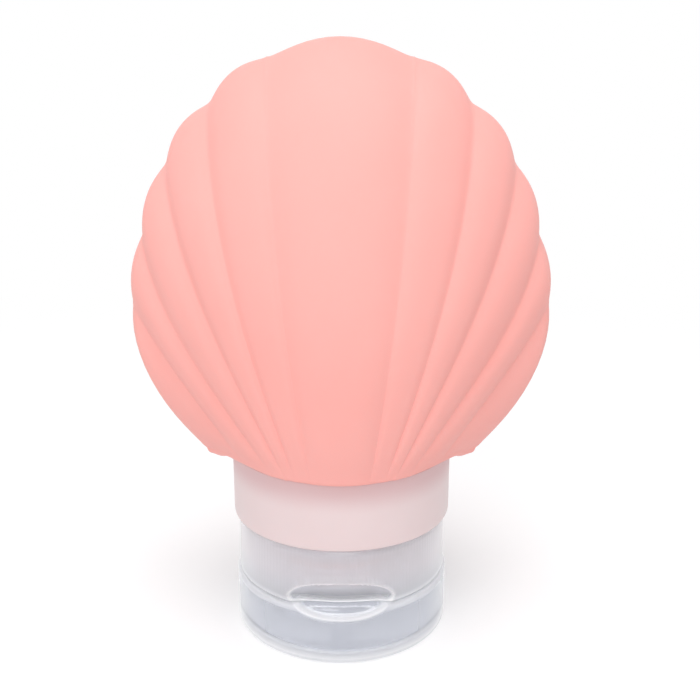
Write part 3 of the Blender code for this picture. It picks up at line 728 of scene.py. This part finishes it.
# Painted light: the notch's outline, its lower edge and the skirt's foot are whiter as painted
# highlights, and the notch's dish is clearer as painted shade.
skirt_milk_and_painted_light = (
    SKIRT_MILK - NOTCH_PAINTED_SHADE * in_notch + NOTCH_EDGE_HIGHLIGHT * near_notch
    + NOTCH_FOOT_HIGHLIGHT * notch_foot + SKIRT_FOOT_HIGHLIGHT * skirt_foot
)
thread_milk = THREAD_MILK + THREAD_RIDGE_MILK * cap_ridge
# The deck's edge inside the notch is whiter as a painted highlight.
deck_milk_and_highlight = DECK_MILK + DECK_NOTCH_HIGHLIGHT * in_notch[0]
shaped = rise(np.abs(skirt_out - skirt_radius), RIB_FADE)
rib_run = rise(climb - RIB_FOOT, RIB_RUNOUT) * (1 - shaped)
skirt_out = skirt_out + RIB_HEIGHT * np.cos(RIBS * cap_angle) * rib_run
core_radius, core_height = core.T[:, :, None]
cap_loop = np.concatenate([
    ringed(skirt_out, climb, cap_angle, skirt_milk_and_painted_light),
    # The rims of the skirt and the sleeve are whiter as painted highlights.
    ringed(CAP_RADIUS - SKIRT_DRAFT - CAP_EDGE, CAP_TOP, cap_angle, CAP_RIM_HIGHLIGHT)[None],
    ringed(SKIRT_BORE + CAP_EDGE, CAP_TOP, cap_angle, CAP_RIM_HIGHLIGHT)[None],
    ringed(skirt_in, inner_climb, cap_angle, INSIDE_MILK)[::-1],
    ringed(SLEEVE_RADIUS, channel_floor, cap_angle, INSIDE_MILK)[None],
    ringed(SLEEVE_RADIUS, SLEEVE_TOP - SLEEVE_EDGE, cap_angle, INSIDE_MILK)[None],
    ringed(SLEEVE_RADIUS - SLEEVE_EDGE, SLEEVE_TOP, cap_angle, SLEEVE_RIM_HIGHLIGHT)[None],
    ringed(SLEEVE_BORE + SLEEVE_EDGE, SLEEVE_TOP, cap_angle, SLEEVE_RIM_HIGHLIGHT)[None],
    ringed(SLEEVE_BORE - THREAD_DEPTH * cap_ridge, thread_climb, cap_angle, thread_milk),
    ringed(core_radius, core_height, cap_angle, CORE_MILK),
    ringed(deck_out, CAP_BASE, cap_angle, deck_milk_and_highlight)[None],
    ringed(skirt_out, climb, cap_angle, skirt_milk_and_painted_light)[:1],
])
clear = clear_plastic()
cap = skin("cap", [cap_loop], clear)
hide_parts("screw_cap")
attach(cap, "cap")

# --- The retainer ----------------------------------------------------------------------
# A snap ring of the cap's clear polypropylene, moulded by itself and pressed into the
# pocket, where it keeps the valve's rim down.
coat("valve_retainer", clear)

# --- The lid ---------------------------------------------------------------------------
# A shallow cup of the cap's plastic that closes the spout with its stopper. The bottle
# stands on its flat face. The notch runs on into its front edge, and its lug meets the web.
LID_RADIUS = 18.7 * MM
LID_HEIGHT = 9.75 * MM
LID_BORE = 17.5 * MM
LID_PLATE = 1.3 * MM
LID_ROUND = 0.8 * MM
LID_RIM_ROUND = 0.8 * MM
LID_INNER_EDGE = 0.12 * MM
LID_INNER_ROUND = 0.3 * MM
LID_EDGE_EASE = 0.55 * MM
LID_LAST_ROW_GAP = 0.06 * MM
LID_WIDE_ROWS = [3.0 * MM, 5.0 * MM]
LID_CLOSE_ROWS_FOOT = 6.2 * MM
LID_INNER_ROWS_FOOT = 5.6 * MM
STOPPER_FOOT = 2.3 * MM
STOPPER_FOOT_EASE = 0.3 * MM
STOPPER_NECK_DROP = 0.3 * MM
STOPPER_NECK_EASE = 0.2 * MM
STOPPER_TIP_RADIUS = 1.3 * MM
STOPPER_TIP_Z = 9.5 * MM
STOPPER_TIP_EASE = 0.4 * MM
# The lid's edge, rim and lip values are painted highlights, and its notch's drop is a little
# painted shade.
LID_NOTCH_EDGE_REACH = 0.40 * MM
LID_RIM_REACH = 1.1 * MM
LID_PLATE_SHOWS = 1.2 * MM
LID_MILK = 0.10
LID_PLATE_MILK = 0.6
LID_EDGE_HIGHLIGHT = 0.6
LID_RIM_HIGHLIGHT_SHARE = 0.8
LID_NOTCH_PAINTED_SHADE = 0.04
LID_MIDDLE_MILK = 0.3
LID_LIP_HIGHLIGHT = 0.7
LID_LIP_INNER_HIGHLIGHT = 0.5
LID_INSIDE_MILK = 0.05
STOPPER_MILK = 0.1

lug_foot = LID_HEIGHT - LUG_HEIGHT
climb = np.concatenate([
    [LID_ROUND, *LID_WIDE_ROWS],
    np.linspace(LID_CLOSE_ROWS_FOOT, lug_foot - LUG_STEP, 8),
    np.linspace(lug_foot, LID_HEIGHT - LID_LAST_ROW_GAP, 32),
])[:, None]
over = 1 - rise(LID_HEIGHT - climb, LID_RIM_ROUND)
lid_out = dented(LID_RADIUS, cap_angle, climb, 0.0, LID_EDGE_EASE)
lid_out = lid_out - LID_RIM_ROUND * (1 - np.sqrt(1 - over**2))
lid_out = lugged(lid_out, cap_angle, climb, lug_foot, LID_HEIGHT)
inner_climb = np.concatenate([
    [LID_PLATE + LID_INNER_ROUND, *LID_WIDE_ROWS],
    np.linspace(LID_INNER_ROWS_FOOT, LID_HEIGHT - LID_INNER_EDGE, 26),
])[:, None]
lid_in = dented(LID_BORE, cap_angle, inner_climb, NOTCH_WALL)
lip_out = dented(LID_RADIUS, cap_angle, LID_HEIGHT, 0.0, LID_EDGE_EASE) - LID_RIM_ROUND
lip_out = lugged(lip_out, cap_angle, LID_HEIGHT, lug_foot, LID_HEIGHT)
lip_in = dented(LID_BORE + LID_INNER_EDGE, cap_angle, LID_HEIGHT, NOTCH_WALL)
bottom = eased([
    (0.0, 0.0, 0.0),
    (LID_RADIUS, 0.0, LID_ROUND),
    (LID_RADIUS, LID_HEIGHT, 0.0),
], 7)[7:14]
inner_foot = dented(LID_BORE - LID_INNER_ROUND, cap_angle, LID_PLATE, NOTCH_WALL)
stopper = eased([
    (LID_BORE, LID_PLATE, 0.0),
    (STOPPER_FOOT, LID_PLATE, STOPPER_FOOT_EASE),
    (STOPPER_TIP_RADIUS, SPOUT_TIP_Z - STOPPER_NECK_DROP, STOPPER_NECK_EASE),
    (STOPPER_TIP_RADIUS, STOPPER_TIP_Z, STOPPER_TIP_EASE),
    (0.0, STOPPER_TIP_Z, 0.0),
])[EASE_STEPS:]
# Painted light: the rim and the notch's outline are whiter as painted highlights, and the notch's
# dish a little clearer as painted shade.
in_notch = rise(LID_RADIUS - dented(LID_RADIUS, cap_angle, climb, 0.0), NOTCH_SHOWS_DEPTH)
at_rim = (1 - rise(LID_HEIGHT - climb, LID_RIM_REACH)) ** 0.5 * (1 - in_notch)
at_edge = dent_edge(cap_angle, climb, LID_NOTCH_EDGE_REACH)
at_edge = np.maximum(at_edge, LID_RIM_HIGHLIGHT_SHARE * at_rim)
at_plate = 1 - rise(climb - LID_PLATE_SHOWS, MM)
lid_milk_and_painted_light = (
    LID_MILK + LID_PLATE_MILK * at_plate + LID_EDGE_HIGHLIGHT * at_edge
    - LID_NOTCH_PAINTED_SHADE * in_notch
)
bottom_radius, bottom_height = bottom.T[:, :, None]
stopper_radius, stopper_height = stopper.T[:, :, None]
lid_loop = np.concatenate([
    ringed(0.0, 0.0, cap_angle, LID_MIDDLE_MILK)[None],
    ringed(bottom_radius, bottom_height, cap_angle, LID_PLATE_MILK),
    ringed(lid_out, climb, cap_angle, lid_milk_and_painted_light),
    # The rim's top is whiter as a painted highlight.
    ringed(lip_out, LID_HEIGHT, cap_angle, LID_LIP_HIGHLIGHT)[None],
    ringed(lip_in, LID_HEIGHT, cap_angle, LID_LIP_INNER_HIGHLIGHT)[None],
    ringed(lid_in, inner_climb, cap_angle, LID_INSIDE_MILK)[::-1],
    ringed(inner_foot, LID_PLATE, cap_angle, STOPPER_MILK)[None],
    ringed(stopper_radius, stopper_height, cap_angle, STOPPER_MILK),
])
lid = skin("lid", [lid_loop], clear)
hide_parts("flip_lid")
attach(lid, "lid")

# --- The web ---------------------------------------------------------------------------
# The living hinge: a thin strip, moulded in one with the cap and the lid, that bends where
# it is thinnest, on the hinge's axis. Its ends run up into the two lugs.
WEB_HALF_LENGTH = 4.5 * MM
WEB_HALF_HEIGHT = 1.05 * MM
WEB_THIN = 0.15 * MM
WEB_THICK = 0.28 * MM

share = np.linspace(-1, 1, 25)
half_thick = WEB_THIN + (WEB_THICK - WEB_THIN) * share**2
half_thick[[0, -1]] = 0.0
outline_y = np.concatenate([half_thick, -half_thick[::-1]])
outline_z = HINGE_Z + WEB_HALF_HEIGHT * np.concatenate([share, share[::-1]])
ends = np.array([0.0, 1.0, 1.0, 1.0, 0.0])[:, None]
across = np.array([-1.0, -1.0, 0.0, 1.0, 1.0])[:, None] * WEB_HALF_LENGTH
web_loop = np.stack(np.broadcast_arrays(across, HINGE_Y + ends * outline_y, outline_z), axis=-1)
web = skin("web", [web_loop], clear)
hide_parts("living_hinge")
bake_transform(web)

# --- The studio ------------------------------------------------------------------------
# A white floor that runs into a white background, an even sky and three big soft lamps:
# above, in front on the left, and low in front. The camera stands where the photograph's did.
FLOOR_HALF = 4.0
FLOOR_Z = -0.05 * MM
FLOOR_LIFT = 0.24
FLOOR_FADE_START = 0.10
FLOOR_FADE_END = 0.32
SKY_LIGHT = 0.70
LAMP_SIZE = 0.45
LAMP_AIM = (0.0, 0.0, 0.05)
CAMERA = (1.5 * MM, -145.0 * MM, 87.7 * MM)
CAMERA_PITCH = 15.1
CAMERA_LENS = 45.2
SENSOR_WIDTH = 36.0


def ray(place, *kinds):
    """1 for rays of these kinds, such as those off a gloss or through clear plastic, else 0."""
    found = [place.node("ShaderNodeLightPath", {}, {}, f"Is {kind} Ray") for kind in kinds]
    return place.node("ShaderNodeClamp", {}, {0: sum(found[1:], found[0])})


floor_mesh = bpy.data.meshes.new("floor")
square = np.array([(-1, -1, 0), (1, -1, 0), (1, 1, 0), (-1, 1, 0)]) * FLOOR_HALF
floor_mesh.from_pydata(square + (0, 0, FLOOR_Z), [], [(0, 1, 2, 3)])
floor = bpy.data.objects.new("floor", floor_mesh)
bpy.context.collection.objects.link(floor)
paper, shader, place = principled("white_paper", {"Roughness": 0.9, "Specular IOR Level": 0.1})
fibres = noise(place, 900.0, 2.0)
feed(shader, {"Base Color": mixed(fibres, (0.79, 0.79, 0.795, 1.0), (0.81, 0.81, 0.815, 1.0))})
lit = Value(shader.outputs[0])
background = place.node(
    "ShaderNodeEmission", {}, {"Color": (1.0, 1.0, 1.0, 1.0), "Strength": 1.0})
lift = place.node(
    "ShaderNodeEmission", {}, {"Color": (0.99, 0.99, 1.0, 1.0), "Strength": FLOOR_LIFT})
lifted = place.node("ShaderNodeAddShader", {}, {0: lit, 1: lift})
from_middle = place.node("ShaderNodeVectorMath", {"operation": "LENGTH"}, {0: place}, 1)
far = place.node("ShaderNodeMapRange", {"interpolation_type": "SMOOTHSTEP"}, {
    0: from_middle, 1: FLOOR_FADE_START, 2: FLOOR_FADE_END})
seen = blended(far, lifted, background)
other = blended(ray(place, "Glossy", "Transmission"), lit, background)
output = paper.node_tree.nodes["Material Output"]
feed(output, {"Surface": blended(ray(place, "Camera"), other, seen)})
floor_mesh.materials.append(paper)

world = bpy.data.worlds.new("studio")
world.use_nodes = True
sky = world.node_tree.nodes["Background"]
sky.inputs["Color"].default_value = (1.0, 1.0, 1.0, 1.0)
straight = ray(Value(sky.outputs[0]), "Camera", "Glossy", "Transmission")
feed(sky, {"Strength": SKY_LIGHT + straight * (1 - SKY_LIGHT)})
bpy.context.scene.world = world

for name, spot, power in (
    ("above", (0.0, -0.22, 0.85), 2.35),
    ("left", (-0.28, -0.68, 0.50), 1.1),
    ("front", (0.0, -0.85, 0.12), 0.9),
):
    lamp = bpy.data.lights.new(name, "AREA")
    lamp.size, lamp.energy = LAMP_SIZE, power
    stand = bpy.data.objects.new(name, lamp)
    stand.location = spot
    aim = np.array(LAMP_AIM) - spot
    stand.rotation_euler = (
        math.atan2(math.hypot(aim[0], aim[1]), -aim[2]), 0.0, math.atan2(-aim[0], aim[1]),
    )
    bpy.context.collection.objects.link(stand)

lens = bpy.data.cameras.new("camera")
lens.sensor_width, lens.lens = SENSOR_WIDTH, CAMERA_LENS
lens.clip_start, lens.clip_end = 0.005, 20.0
camera = bpy.data.objects.new("camera", lens)
camera.location = CAMERA
camera.rotation_euler = (math.radians(90.0 - CAMERA_PITCH), 0.0, 0.0)
bpy.context.collection.objects.link(camera)
bpy.context.scene.camera = camera
bpy.context.scene.view_settings.view_transform = "Standard"
